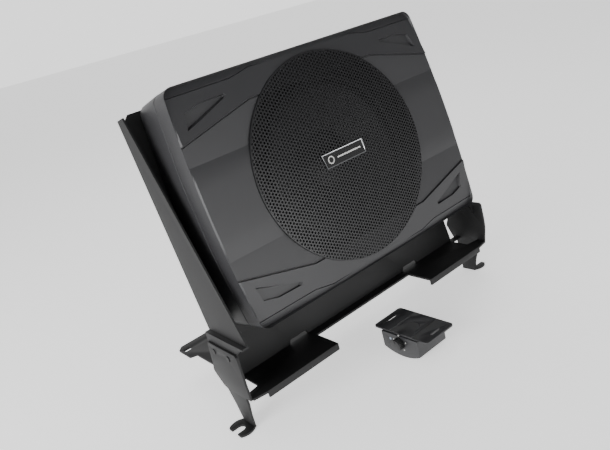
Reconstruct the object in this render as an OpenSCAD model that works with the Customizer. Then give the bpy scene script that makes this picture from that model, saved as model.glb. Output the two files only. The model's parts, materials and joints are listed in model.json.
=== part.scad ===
// Powered under-seat subwoofer on a folded steel bracket, with its wired bass remote.
// Row frame: origin midway between the two hook slots, on the surface they rest on,
// +Z up, -Y towards the listener, +X to the right of the grille.
// Face frame: u to the right, v up along the leaning front face, n out of the face,
// with its origin at the centre of the grille on the front face.

/* [Cabinet] */
// Width of the cabinet at its middle
cab_w = 349; // [344:1:351]
// Height of the cabinet along the leaning face
cab_h = 248; // [246:1:249]
// Depth of the cabinet from the front face to the back
cab_d = 75; // [74:0.5:76]
// Wall of the moulded shells
wall = 2.5; // [2:0.1:3]
// Distance from the front face to the joint of the two shells
seam = 27; // [25:1:28]
// Radius of the grille
grille_r = 114.5; // [113:0.5:115]
// Rise of the grille at its centre
grille_rise = 4; // [3:0.5:5]

/* [Bracket] */
// Lean of the cabinet away from upright, in degrees
lean = 12; // [12:0.5:12.5]
// Height of the grille centre above the hook plane
face_z = 237; // [236:1:240]
// Grille centre in front of the hook slots
face_y = 25; // [24:1:26]
// Half width over the carrier's cheeks
cheek_x = 190; // [189:0.5:190]
// Sheet thickness of the carrier
sheet = 2; // [1.8:0.1:2.2]
// Sheet thickness of the base and legs
leg_sheet = 2.5; // [2.4:0.1:2.6]
// Half width over the side plates of the legs
side_x = 198.5; // [198.5:0.5:199]
// Height of the base floor's top face below the grille centre
floor_drop = 190; // [189:1:191]
// Inward lean of the legs below their bend, in degrees
leg_lean = 5; // [4:0.5:5]
// Width of the hook slot
hook_slot = 10.8; // [10:0.2:11]
// Width of the slots in the rear ears
ear_slot = 6.5; // [6:0.1:7]
// End-to-end length of the slots in the rear ears
ear_slot_len = 11; // [10:0.5:12]

/* [Driver] */
// Radius of the basket's mounting flange
flange_r = 104; // [103:0.5:104.5]
// Outer radius of the magnet
magnet_r = 50; // [45:1:52]
// Radius of the voice coil former's bore
former_r = 19; // [18.9:0.05:19.1]
// Radius of the cone at its rim
cone_r = 81; // [80:0.5:81.5]
// One-way travel of the cone
cone_travel = 6; // [3:1:6]

/* [Controls] */
// Radius of the small knobs on the side panel
trim_knob_r = 4.5; // [4:0.1:4.8]
// Radius of a knob's shaft
shaft_r = 1.5; // [1.4:0.05:1.6]
// Radial clearance between a shaft and its bore
run_gap = 0.08; // [0.05:0.01:0.1]

/* [Remote] */
// Width of the remote's mounting plate
rem_plate_w = 83; // [80:1:86]
// Depth of the remote's mounting plate
rem_plate_d = 45.5; // [43:0.5:47]
// Width of the remote's housing
rem_w = 55; // [53:1:57]
// Depth of the remote's housing
rem_d = 45; // [43:1:46]
// Height of the remote from its rounded underside to its plate
rem_h = 28.5; // [27:0.5:30]
// Remote's place, right of the hook slots' middle
rem_x = 7.5; // [5:0.5:15]
// Remote's place, in front of the hook slots
rem_y = 62; // [58:1:66]

/* [Hidden] */
$fn = 64;

black_abs = [0.16, 0.16, 0.165];
black_steel = [0.12, 0.12, 0.125];

// Cabinet
corner_r = 11;                 // corners of the cabinet's outline
bow = 5.5;                     // how far the sides bow out past the corners
shell_front = -seam;           // joint face of the cover
seal_t = 1;                    // thickness of the seal between the shells
tray_top = -seam - seal_t;     // joint face of the rear shell
shell_draft = 1;               // inset of the shell's side walls at their rear edge
grille_t = 1;
badge_pin_r = 1.1;
grille_seat = 1.6;             // depth of the recess that the grille's rim sits in
opening_r = grille_r - 4.5;    // opening in the cover's skin
flange_back = -14;             // face of the cover's ring that the basket sits on
ring_in_r = 88;                // inside of that ring
post_x = 138;                  // shell screw posts
post_v = 108;
post_r = 4.6;
shell_screw_r = 1.5;
boss_v = 70;                   // bosses for the bolts that hold the cabinet to the carrier
boss_x = 120;
boss_h = 8;
bolt_r = 2.5;                  // M5

// Driver, heights along n
flange_t = 1.5;
basket_foot = -48;             // underside of the basket, on the top plate
foot_t = 2;
plate_t = 4;
magnet_t = 12;
yoke_t = 6;
shelf_n = -39;                 // ledge that the spider's rim is glued to
screw_pcd_r = 98.5;
gap_r = former_r + 2.1;        // bore of the top plate
neck_n = -35;                  // underside of the cone's neck
cone_top = flange_back + flange_t;
pole_r = former_r - 0.8;
former_t = 0.3;
winding_t = 0.8;

// Amplifier
board_n = -66;
board_t = 1.6;
board_top = board_n + board_t;
lead_r = 1;
board_x0 = 92;
board_x1 = 150;
board_v = 95;

// Side panel
panel_x = 165;                 // outer face of the panel
panel_t = 2;
panel_v0 = 22;
panel_v1 = 112;
panel_n0 = -57;
panel_n1 = -30;
pocket_rim = 1.2;              // ledge that the panel rests on
row_a = -37.5;                 // sockets
row_b = -49;                   // knobs
pot_w = 9;
knob_v = [68, 80, 92];
rca_v = [69, 82];
rca_r = 4.15;
rca_collar_r = 4.9;
power_v = 36;
fuse_v = 54.5;
lamp_v = 91;
jack_v = 101;
slider_v = 104;
slider_travel = 4;

// Bracket, in Y and Z measured from the grille centre
back_n = -cab_d;               // front face of the carrier's back plate
cheek_top = 117;               // top of the cheeks, along v
back_top = 120;                // top of the back plate, along v
ledge_z = -127;                // top of the ledge that the cheeks step out on
side_top = -137;               // top of the side plates
bend_z = -172;                 // bend line of the legs
floor_z = -floor_drop;
ground_z = -face_z;
hook_t = leg_sheet;
hook_x = 202;                  // centre of the hook's ring
hook_r = 14.8;
hook_mouth = 204;              // centre of the slot's round end
hook_end = 211.5;              // tips of the hook
ear_x = 182.5;                 // centre of the ear slots
ear_y = 154.2;
rivet_y = [10, 38];
rivet_z = -146;
lip_rivet_x = [-130, -45, 45, 130];
lip_rivet_v = -124;
base_front = -11;
base_rear = 169;
// where the floor is welded to the leaning legs
weld_x = side_x - leg_sheet / cos(leg_lean) + (floor_z - leg_sheet - bend_z) * tan(leg_lean) - 0.05;

// Remote
rem_plate_t = 2;
rem_wall = 2;
rem_knob_z = 18;
rem_knob_r = 7;
rem_front = -rem_d / 2;        // face that carries the knob
rem_back = rem_d / 2;
rem_lamp_y = 14;
rem_lamp_z = 20;
rem_screw_x = 15;
rem_head_z = 14;               // seat of the screw heads
rem_screw_y = 22;
rem_slot_y = 33.3;             // slots in the plate's ears
rem_plate_x = 2.35;            // how far the plate sits behind the housing's middle

// ---------- placing ----------

module on_face() { translate([0, -face_y, face_z]) rotate([90 - lean, 0, 0]) children(); }

module from_face() { translate([0, -face_y, face_z]) children(); }

module at_remote() { translate([rem_x, -rem_y, 0]) children(); }

module both_sides() { children(); mirror([1, 0, 0]) children(); }

module along_u(u0) { translate([u0, 0, 0]) rotate([0, 90, 0]) children(); }

// A bar of one radius between two points
module rod(p, q, r) {
    d = q - p;
    len = norm(d);
    translate(p)
        rotate([0, acos(d[2] / len), atan2(d[1], d[0])])
            cylinder(h = len, r = r, $fn = 24);
}

// ---------- cabinet outline ----------

function quarter(cx, cy, r, a0) = [for (i = [0:6]) [cx + r * cos(a0 + 15 * i), cy + r * sin(a0 + 15 * i)]];

// Outline of the cabinet, drawn inside its edge by d
function outline_points(d) =
    let (hw = cab_w / 2 - d, hh = cab_h / 2 - d, r = corner_r, cw = hw - bow - r, ch = hh - r)
    concat(
        quarter(cw, ch, r, 0), quarter(-cw, ch, r, 90),
        [[-hw + 2, 69], [-hw, 35], [-hw, -35], [-hw + 2, -69]],
        quarter(-cw, -ch, r, 180), quarter(cw, -ch, r, 270),
        [[hw - 2, -69], [hw, -35], [hw, 35], [hw - 2, 69]]);

module outline(d) { polygon(outline_points(d)); }

module slab(d, n0, n1) { translate([0, 0, n0]) linear_extrude(n1 - n0) outline(d); }

module at_posts() {
    for (x = [-post_x, post_x], v = [-post_v, post_v]) translate([x, v, 0]) children();
}

module at_bosses() {
    for (x = [-boss_x, boss_x], v = [-boss_v, boss_v]) translate([x, v, 0]) children();
}

// ---------- cabinet ----------

module front_cover() {
    color(black_abs) on_face() difference() {
        union() {
            difference() {
                hull() {
                    slab(0, shell_front, -3);
                    slab(2.6, -3, 0);
                }
                slab(wall, shell_front - 1, -wall - 0.5);
            }
            // tube and ring that carry the driver
            difference() {
                translate([0, 0, flange_back - 3])
                    cylinder(h = -flange_back + 1, r = opening_r + 3, $fn = 128);
                translate([0, 0, flange_back]) cylinder(h = 20, r = opening_r, $fn = 128);
            }
            at_posts() translate([0, 0, shell_front]) cylinder(h = seam - wall, r = post_r);
        }
        translate([0, 0, -20]) cylinder(h = 30, r = ring_in_r, $fn = 128);
        translate([0, 0, flange_back]) cylinder(h = 20, r = opening_r, $fn = 128);
        translate([0, 0, -grille_seat]) cylinder(h = 10, r = grille_r + 0.6, $fn = 128);
        at_posts() translate([0, 0, shell_front - 1]) cylinder(h = 15, r = shell_screw_r + 0.05);
        for (a = [0:45:315])
            rotate(a + 22.5) translate([screw_pcd_r, 0, -20]) cylinder(h = 10, r = 1.65);
    }
}

module tray_outside() {
    hull() {
        slab(0, tray_top - 1, tray_top);
        slab(shell_draft, 5 - cab_d, 6 - cab_d);
        slab(shell_draft + 2.5, -cab_d, -cab_d + 1);
    }
}

module rear_shell() {
    color(black_abs) on_face() difference() {
        union() {
            difference() {
                tray_outside();
                hull() {
                    slab(wall, tray_top - 1, tray_top + 1);
                    slab(shell_draft + wall, 5 - cab_d, 6 - cab_d);
                    slab(shell_draft + 2.5 + wall, -cab_d + wall, -cab_d + wall + 1);
                }
            }
            intersection() {
                tray_outside();
                union() {
                    at_posts() translate([0, 0, -cab_d]) cylinder(h = cab_d + tray_top, r = post_r);
                    at_bosses() translate([0, 0, -cab_d]) cylinder(h = boss_h, r = 6);
                    // sunken pocket for the side panel
                    translate([panel_x - panel_t - 2, panel_v0 - 2, panel_n0 - 2])
                        cube([20, panel_v1 - panel_v0 + 4, panel_n1 - panel_n0 + 4]);
                }
            }
        }
        at_posts() {
            translate([0, 0, -cab_d - 1]) cylinder(h = 46, r = 3.3);
            translate([0, 0, -40]) cylinder(h = 20, r = shell_screw_r + 0.15);
        }
        at_bosses() translate([0, 0, -cab_d - 1]) cylinder(h = boss_h - 1, r = bolt_r + 0.05);
        translate([panel_x - panel_t, panel_v0, panel_n0])
            cube([20, panel_v1 - panel_v0, panel_n1 - panel_n0]);
        translate([panel_x - panel_t - 3, panel_v0 + pocket_rim, panel_n0 + pocket_rim])
            cube([6, panel_v1 - panel_v0 - 2 * pocket_rim, panel_n1 - panel_n0 - 2 * pocket_rim]);
    }
}

module shell_seal() {
    color([0.05, 0.05, 0.05]) on_face() difference() {
        slab(0.5, tray_top, shell_front);
        slab(2, tray_top - 1, shell_front + 1);
    }
}

// Shallow domed disc; its holes are too many for a solid
module grille() {
    dome_r = (grille_r * grille_r + grille_rise * grille_rise) / (2 * grille_rise);
    dome_c = grille_rise - dome_r;
    edge = asin((grille_r - 2) / dome_r);
    arc_out = [for (i = [0:8]) let (a = edge * i / 8) [dome_r * sin(a), dome_c + dome_r * cos(a)]];
    arc_in = [for (i = [8:-1:0]) let (a = edge * i / 8)
        [(dome_r - grille_t) * sin(a), dome_c + (dome_r - grille_t) * cos(a)]];
    color([0.1, 0.1, 0.1]) on_face() rotate_extrude($fn = 128)
        polygon(concat([[badge_pin_r + 0.1, dome_c + dome_r]], [for (i = [1:8]) arc_out[i]],
            [[grille_r, 0], [grille_r, -grille_seat], [grille_r - 1, -grille_seat]],
            [for (i = [0:7]) arc_in[i]], [[badge_pin_r + 0.1, dome_c + dome_r - grille_t]]));
}

module badge() {
    badge_n = grille_rise + 0.02;
    color([0.08, 0.08, 0.08]) on_face() translate([-3.5, 0.9, badge_n]) {
        linear_extrude(1.6)
            polygon([[-29.8, 7.8], [-27.8, -7.8], [29.2, -7.8], [29.2, 7.8]]);
        // pin that clips the badge through the grille
        translate([3.5, -0.9, -3]) cylinder(h = 3, r = badge_pin_r);
    }
}

// ---------- driver ----------

module at_driver_screws() {
    for (a = [0:45:315]) rotate(a + 22.5) translate([screw_pcd_r, 0, 0]) children();
}

module driver_basket() {
    top = flange_back + flange_t;
    color([0.2, 0.2, 0.2]) on_face() difference() {
        union() {
            rotate_extrude($fn = 96) polygon([
                [flange_r, flange_back], [flange_r, top], [85.5, top], [84.5, -22],
                [60, shelf_n + 2], [54, shelf_n], [46, shelf_n], [46, shelf_n - 1.5], [51, shelf_n - 1.5],
                [50, basket_foot + foot_t], [22.5, basket_foot + foot_t], [22.5, basket_foot],
                [52, basket_foot], [56, shelf_n - 2], [62.5, shelf_n], [87, -23], [87.5, flange_back]]);
            // tab that carries the terminals
            translate([53, -9, shelf_n - 1.5]) cube([11.5, 18, 1.5]);
        }
        // windows; the first one is cut down to the tab
        translate([54.5, -10, shelf_n]) cube([40, 20, 21]);
        for (a = [60:60:300])
            rotate(a) translate([58, -13, -35]) cube([24, 26, 13]);
        at_driver_screws() translate([0, 0, flange_back - 1]) cylinder(h = 5, r = 2.2);
    }
}

module basket_gasket() {
    top = flange_back + flange_t;
    color([0.06, 0.06, 0.06]) on_face() difference() {
        translate([0, 0, top + 0.8]) cylinder(h = 1.7, r = flange_r - 0.5, $fn = 96);
        translate([0, 0, top]) cylinder(h = 4, r = 94.5, $fn = 96);
        at_driver_screws() translate([0, 0, top]) cylinder(h = 4, r = 3.4);
    }
}

module driver_screws() {
    top = flange_back + flange_t;
    color([0.3, 0.3, 0.32]) on_face() at_driver_screws() {
        translate([0, 0, -19]) cylinder(h = 19 + top + 1, r = 1.6);
        difference() {
            translate([0, 0, top + 0.85]) cylinder(h = 1.9, r = 3.1);
            translate([-2.2, -0.4, top + 1.9]) cube([4.4, 0.8, 2]);
            translate([-0.4, -2.2, top + 1.9]) cube([0.8, 4.4, 2]);
        }
    }
}

// Half-roll rubber surround with a flat lip each side
module surround() {
    lip = flange_back + flange_t;
    roll_c = 87.4;
    roll_r = 5.2;
    t = 0.7;
    outer = [for (a = [0:15:180]) [roll_c + roll_r * cos(a), lip + t + roll_r * sin(a)]];
    inner = [for (a = [180:-15:0]) [roll_c + (roll_r - t) * cos(a), lip + t + (roll_r - t) * sin(a)]];
    color([0.07, 0.07, 0.07]) on_face() {
        rotate_extrude($fn = 96) polygon(concat(outer, inner));
        difference() {
            translate([0, 0, lip]) cylinder(h = t, r = 103, $fn = 96);
            translate([0, 0, lip - 1]) cylinder(h = 4, r = roll_c + roll_r - t, $fn = 96);
            at_driver_screws() translate([0, 0, lip - 1]) cylinder(h = 4, r = 3.4);
        }
        difference() {
            translate([0, 0, lip]) cylinder(h = t, r = roll_c - roll_r + t, $fn = 96);
            translate([0, 0, lip - 1]) cylinder(h = 4, r = 77.5, $fn = 96);
        }
    }
}

module cone() {
    color([0.13, 0.13, 0.14]) on_face() rotate_extrude($fn = 96) polygon([
        [former_r + former_t + 0.05, neck_n], [former_r + 2.4, neck_n], [cone_r, cone_top - 1.2],
        [cone_r, cone_top], [cone_r - 4, cone_top], [former_r + former_t + 0.05, neck_n + 1.6]]);
}

module dust_cap() {
    base_r = 32;
    rise = 8;
    slope = (cone_top - neck_n - 1.6) / (cone_r - 4 - former_r - former_t);
    base_n = neck_n + 1.6 + (base_r - former_r - former_t) * slope + 0.8;
    dome_r = (base_r * base_r + rise * rise) / (2 * rise);
    edge = asin(base_r / dome_r);
    color([0.1, 0.1, 0.1]) on_face() translate([0, 0, base_n + rise - dome_r]) rotate_extrude($fn = 64)
        polygon(concat([for (i = [0:8]) dome_r * [sin(edge * i / 8), cos(edge * i / 8)]],
            [for (i = [8:-1:0]) (dome_r - 0.8) * [sin(edge * i / 8), cos(edge * i / 8)]]));
}

module coil_former() {
    color([0.75, 0.6, 0.35]) on_face() translate([0, 0, -57]) difference() {
        cylinder(h = neck_n + 1.6 + 57, r = former_r + former_t, $fn = 96);
        translate([0, 0, -1]) cylinder(h = 40, r = former_r, $fn = 96);
    }
}

module coil_winding() {
    color([0.7, 0.35, 0.15]) on_face() translate([0, 0, -55.5]) difference() {
        cylinder(h = 11, r = former_r + former_t + winding_t, $fn = 96);
        translate([0, 0, -1]) cylinder(h = 20, r = former_r + former_t + 0.02, $fn = 96);
    }
}

// Corrugated suspension between the former and the basket's ledge
module spider() {
    waves = 4;
    r0 = former_r + former_t + 0.05;
    r1 = 44;
    t = 0.6;
    amp = 0.9;
    steps = 6 * waves;
    top = [for (i = [0:steps])
        [r0 + (r1 - r0) * i / steps, shelf_n + t + amp + amp * sin(360 * waves * i / steps)]];
    under = [for (i = [steps:-1:0]) [top[i][0], top[i][1] - t]];
    color([0.55, 0.4, 0.15]) on_face() {
        rotate_extrude($fn = 64) polygon(concat(top,
            [[50, shelf_n + t + amp], [53.5, shelf_n + t], [53.5, shelf_n], [48, shelf_n],
                [46, shelf_n + amp]],
            under));
    }
}

module ring(r_out, r_in, n0, t) {
    translate([0, 0, n0]) difference() {
        cylinder(h = t, r = r_out, $fn = 96);
        translate([0, 0, -1]) cylinder(h = t + 2, r = r_in, $fn = 96);
    }
}

module top_plate() { color("silver") on_face() ring(magnet_r - 4, gap_r, basket_foot - plate_t, plate_t); }

module magnet() {
    color([0.2, 0.2, 0.21]) on_face() ring(magnet_r, 26, basket_foot - plate_t - magnet_t, magnet_t);
}

module yoke() {
    yoke_top = basket_foot - plate_t - magnet_t;
    color("silver") on_face() {
        ring(magnet_r - 3, 5, yoke_top - yoke_t, yoke_t);
        ring(pole_r, 5, yoke_top, plate_t + magnet_t);
    }
}

module driver_terminals() {
    color([0.75, 0.65, 0.3]) on_face() translate([0, 0, shelf_n]) {
        translate([58.5, -8, 0]) cube([5, 16, 1.4]);
        for (v = [-6, 6]) translate([59.5, v - 1.5, 1.4]) cube([0.8, 3, 2.6]);
    }
}

module speaker_leads() {
    color([0.5, 0.05, 0.05]) on_face() {
        for (v = [-6, 6]) {
            rod([60.4, v, -36], [68.5, v, -36.5], lead_r);
            rod([67.6, v, -36.2], [96, v, board_top + 3], lead_r);
            rod([96, v, board_top + 3.2], [96, v, board_top], lead_r);
        }
    }
}

// ---------- amplifier ----------

module at_board_screws() {
    for (x = [board_x0 + 5, board_x1 - 5], v = [-board_v + 5, board_v - 5]) translate([x, v, 0]) children();
}

module amplifier_board() {
    color([0.05, 0.3, 0.12]) on_face() difference() {
        union() {
            translate([board_x0, -board_v, board_n]) cube([board_x1 - board_x0, 2 * board_v, board_t]);
            at_board_screws() translate([0, 0, -cab_d + wall]) cylinder(h = cab_d - wall + board_n, r = 3);
        }
        at_board_screws() translate([0, 0, -cab_d]) cylinder(h = 20, r = 1.6);
    }
}

module board_screws() {
    color("silver") on_face() at_board_screws() {
        translate([0, 0, -cab_d + wall + 0.5]) cylinder(h = cab_d - wall - 0.5 + board_top, r = 1.5);
        translate([0, 0, board_top]) cylinder(h = 1.8, r = 2.8);
    }
}

module heat_sink() {
    color([0.7, 0.7, 0.72]) on_face() difference() {
        translate([board_x1 + 0.5, -88, -cab_d + wall + 1]) cube([5, 176, 18]);
        for (i = [0:3])
            translate([board_x1 + 2.5, -89, -cab_d + wall + 4 + 3.5 * i]) cube([5, 178, 1.8]);
    }
}

module power_transistors() {
    color([0.1, 0.1, 0.1]) on_face() for (v = [-75:30:75])
        translate([board_x1 - 4.2, v - 5, board_top]) cube([4.5, 10, 15]);
}

module toroid_coils() {
    color([0.65, 0.35, 0.12]) on_face() {
        translate([118, -58, 0]) ring(15, 6.5, board_top, 13);
        translate([115, 48, 0]) ring(11, 5, board_top, 10);
    }
}

module capacitors() {
    places = [[106, -22], [124, -22], [106, 0], [124, 0], [108, 72], [126, 72]];
    color([0.1, 0.12, 0.2]) on_face() for (p = places)
        translate([p[0], p[1], board_top]) {
            cylinder(h = 22, r = 7.6, $fn = 48);
            translate([0, 0, 21]) cylinder(h = 2, r = 6.6, $fn = 48);
        }
}

// ---------- side panel ----------

module at_panel(v, n) { translate([panel_x, v, n]) rotate([0, 90, 0]) children(); }

module control_panel() {
    color([0.1, 0.1, 0.1]) on_face() difference() {
        translate([panel_x - panel_t, panel_v0 + 0.2, panel_n0 + 0.2])
            cube([panel_t, panel_v1 - panel_v0 - 0.4, panel_n1 - panel_n0 - 0.4]);
        for (v = knob_v) at_panel(v, row_b) translate([0, 0, -5]) cylinder(h = 10, r = shaft_r + run_gap);
        for (v = rca_v) at_panel(v, row_a) translate([0, 0, -5]) cylinder(h = 10, r = rca_collar_r + 0.05);
        at_panel(lamp_v, row_a) translate([0, 0, -5]) cylinder(h = 10, r = 1.55);
        translate([panel_x - 5, slider_v - 1.9, row_b - 1.6]) cube([10, 3.8 + slider_travel, 3.2]);
        translate([panel_x - 5, power_v - 9.1, row_a - 6.1]) cube([10, 18.2, 12.2]);
        translate([panel_x - 5, fuse_v - 8.1, row_a - 3.1]) cube([10, 16.2, 6.2]);
        translate([panel_x - 5, jack_v - 6.1, row_a - 4.6]) cube([10, 12.2, 9.2]);
    }
}

// Knob with a pointer slot, on a shaft that turns in its pot
module trim_knob(v) {
    color([0.06, 0.06, 0.06]) on_face() at_panel(v, row_b) {
        difference() {
            translate([0, 0, 0.4]) cylinder(h = 6, r = trim_knob_r, $fn = 48);
            translate([-trim_knob_r - 1, -0.5, 5.6]) cube([trim_knob_r + 1, 1, 2]);
        }
        translate([0, 0, -8]) cylinder(h = 8.5, r = shaft_r);
    }
}

module level_knob() { trim_knob(knob_v[0]); }

module crossover_knob() { trim_knob(knob_v[1]); }

module boost_knob() { trim_knob(knob_v[2]); }

module trim_pots() {
    color([0.45, 0.45, 0.47]) on_face() for (v = knob_v) difference() {
        translate([panel_x - panel_t - 7, v - pot_w / 2, row_b - pot_w / 2]) cube([7, pot_w, pot_w]);
        at_panel(v, row_b) translate([0, 0, -20]) cylinder(h = 25, r = shaft_r + run_gap);
    }
}

module phase_slider() {
    color([0.8, 0.8, 0.8]) on_face()
        translate([panel_x - 4, slider_v - 1.5, row_b - 1.2]) cube([5.5, 3, 2.4]);
}

module phase_switch() {
    color([0.5, 0.5, 0.52]) on_face() difference() {
        translate([panel_x - panel_t - 6, slider_v - 5, row_b - 3.5]) cube([6, 10, 7]);
        translate([panel_x - 5, slider_v - 1.9, row_b - 1.6]) cube([10, 3.8 + slider_travel, 3.2]);
    }
}

module rca_sockets() {
    color([0.8, 0.7, 0.35]) on_face() for (v = rca_v) at_panel(v, row_a) difference() {
        union() {
            translate([0, 0, -6]) cylinder(h = 14, r = rca_r, $fn = 48);
            translate([0, 0, -6 - panel_t]) cylinder(h = 6 + panel_t, r = rca_collar_r, $fn = 48);
        }
        translate([0, 0, -4]) cylinder(h = 20, r = 1.65, $fn = 32);
    }
}

// Socket body whose mouth opens out of the panel
module socket_box(v, w, h, mouth_w, mouth_h, depth) {
    difference() {
        translate([panel_x - depth - 3, v - w / 2, row_a - h / 2]) cube([depth + 4, w, h]);
        translate([panel_x - depth, v - mouth_w / 2, row_a - mouth_h / 2])
            cube([depth + 2, mouth_w, mouth_h]);
    }
}

module power_socket() {
    color([0.12, 0.12, 0.12]) on_face() {
        socket_box(power_v, 18, 12, 15, 9, 10);
        for (i = [-1, 1], j = [-1, 1])
            translate([panel_x - 11, power_v + 5.2 * i - 0.5, row_a + 3 * j - 0.5]) cube([4, 1, 1]);
    }
}

module remote_socket() {
    color([0.12, 0.12, 0.12]) on_face() socket_box(jack_v, 12, 9, 9.6, 6.6, 9);
}

module fuse() {
    color([0.75, 0.35, 0.1]) on_face() {
        translate([panel_x - 9, fuse_v - 8, row_a - 3]) cube([10, 16, 6]);
        translate([panel_x + 1, fuse_v - 6, row_a - 1.8]) cube([4, 12, 3.6]);
    }
}

module power_lamp() {
    color([0.2, 0.4, 0.9]) on_face() at_panel(lamp_v, row_a) {
        translate([0, 0, -3]) cylinder(h = 3.5, r = 1.5, $fn = 32);
        translate([0, 0, -panel_t - 1]) cylinder(h = 1, r = 2, $fn = 32);
    }
}

module shell_screws() {
    color("silver") on_face() at_posts() {
        translate([0, 0, -33]) cylinder(h = 3, r = 3);
        translate([0, 0, -30]) cylinder(h = 15, r = shell_screw_r);
    }
}

// ---------- bracket ----------

// Upright cheek; low is the front of its lower edge, in the leaning plane
module cheek(low) {
    translate([cheek_x - sheet, 0, 0]) rotate([90, 0, 90]) linear_extrude(sheet) polygon([
        [cheek_top, back_n - sheet], [cheek_top, -62.2], low, [-113.5, back_n - sheet]]);
}

// Step out from a cheek and the lap that comes down inside the leg's side plate
module side_step(ledge_front, lap_points) {
    lap_x = side_x - leg_sheet;
    difference() {
        union() {
            translate([cheek_x - sheet, ledge_front, ledge_z - sheet])
                cube([lap_x - cheek_x + sheet, 50 - ledge_front, sheet]);
            translate([lap_x - sheet, 0, 0])
                rotate([90, 0, 90]) linear_extrude(sheet) polygon(lap_points);
        }
        for (y = rivet_y)
            translate([lap_x - 5, y, rivet_z]) rotate([0, 90, 0]) cylinder(h = 10, r = 2.05);
    }
}

module carrier_plate() {
    back_low = -135;
    color(black_steel) {
        on_face() {
            // the right-hand side is cut back to leave the controls in reach
            cheek([-123, -32.3]);
            mirror([1, 0, 0]) cheek([-128.8, -5]);
            difference() {
                translate([0, 0, back_n - sheet]) linear_extrude(sheet) polygon([
                    [cheek_x - 12, back_top], [cheek_x - 6, back_top - 6], [cheek_x - 6, cheek_top - 8],
                    [cheek_x, cheek_top - 8], [cheek_x, -113.5], [cheek_x - 10, -113.5],
                    [cheek_x - 32, back_low], [32 - cheek_x, back_low], [10 - cheek_x, -113.5],
                    [-cheek_x, -113.5], [-cheek_x, cheek_top - 8], [6 - cheek_x, cheek_top - 8],
                    [6 - cheek_x, back_top - 6], [12 - cheek_x, back_top]]);
                at_bosses() translate([0, 0, -cab_d - 5]) cylinder(h = 10, r = bolt_r + 0.25);
                for (x = lip_rivet_x)
                    translate([x, lip_rivet_v, -cab_d - 5]) cylinder(h = 10, r = 2.45);
            }
        }
        from_face() {
            side_step(5, [[5, ledge_z], [50, ledge_z], [50, -153], [7, -153], [5, -151]]);
            mirror([1, 0, 0]) side_step(-21.5,
                [[-20.5, ledge_z], [50, ledge_z], [50, -153], [-4, -153], [-6, -138]]);
        }
    }
}

module carrier_bolts() {
    color("silver") on_face() at_bosses() {
        translate([0, 0, -cab_d - sheet - 3.6]) cylinder(h = 3.6, r = 4.4, $fn = 6);
        translate([0, 0, -cab_d - sheet]) cylinder(h = sheet + boss_h - 3, r = bolt_r);
    }
}

module base_frame() {
    t = leg_sheet;
    color(black_steel) {
        from_face() {
            translate([0, 0, floor_z - t]) linear_extrude(t) difference() {
                polygon([
                    [79, base_front], [177, base_front], [weld_x, -8], [weld_x, 5], [177, 8],
                    [177, 34], [weld_x, 34], [weld_x, 42], [182, 42], [182, 132], [190, 136], [190, 163],
                    [184, base_rear], [-184, base_rear], [-190, 163], [-190, 136], [-182, 132],
                    [-182, 42], [-weld_x, 42], [-weld_x, 34], [-177, 34], [-177, 8], [-weld_x, 5],
                    [-weld_x, -8], [-177, base_front], [-79, base_front], [-79, 27], [79, 27]]);
                for (s = [-1, 1]) translate([s * ear_x, ear_y]) {
                    square([ear_slot_len - ear_slot, ear_slot], center = true);
                    for (e = [-1, 1]) translate([e * (ear_slot_len - ear_slot) / 2, 0]) circle(d = ear_slot);
                }
                translate([-140, 76]) square([280, 66]);
            }
            // turned-down front edges
            both_sides() translate([79, base_front, floor_z - 8]) cube([98, t, 8]);
        }
        // upstand behind the carrier
        on_face() difference() {
            translate([0, 0, back_n - sheet - t]) linear_extrude(t) polygon([
                [180, -177.5], [180, -146], [158, -137], [158, -112], [-158, -112], [-158, -137],
                [-180, -146], [-180, -177.5], [-109, -177.5], [-107, -173], [-84, -173], [-82, -177.5],
                [82, -177.5], [84, -173], [107, -173], [109, -177.5]]);
            for (x = lip_rivet_x)
                translate([x, lip_rivet_v, -cab_d - 10]) cylinder(h = 20, r = 2.45);
        }
    }
}

module lip_rivets() {
    color([0.3, 0.3, 0.3]) on_face() for (x = lip_rivet_x) translate([x, lip_rivet_v, 0]) {
        translate([0, 0, back_n - sheet - leg_sheet]) cylinder(h = sheet + leg_sheet, r = 2.4);
        translate([0, 0, back_n - sheet - leg_sheet - 1.5]) cylinder(h = 1.5, r = 4.2);
    }
}

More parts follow.
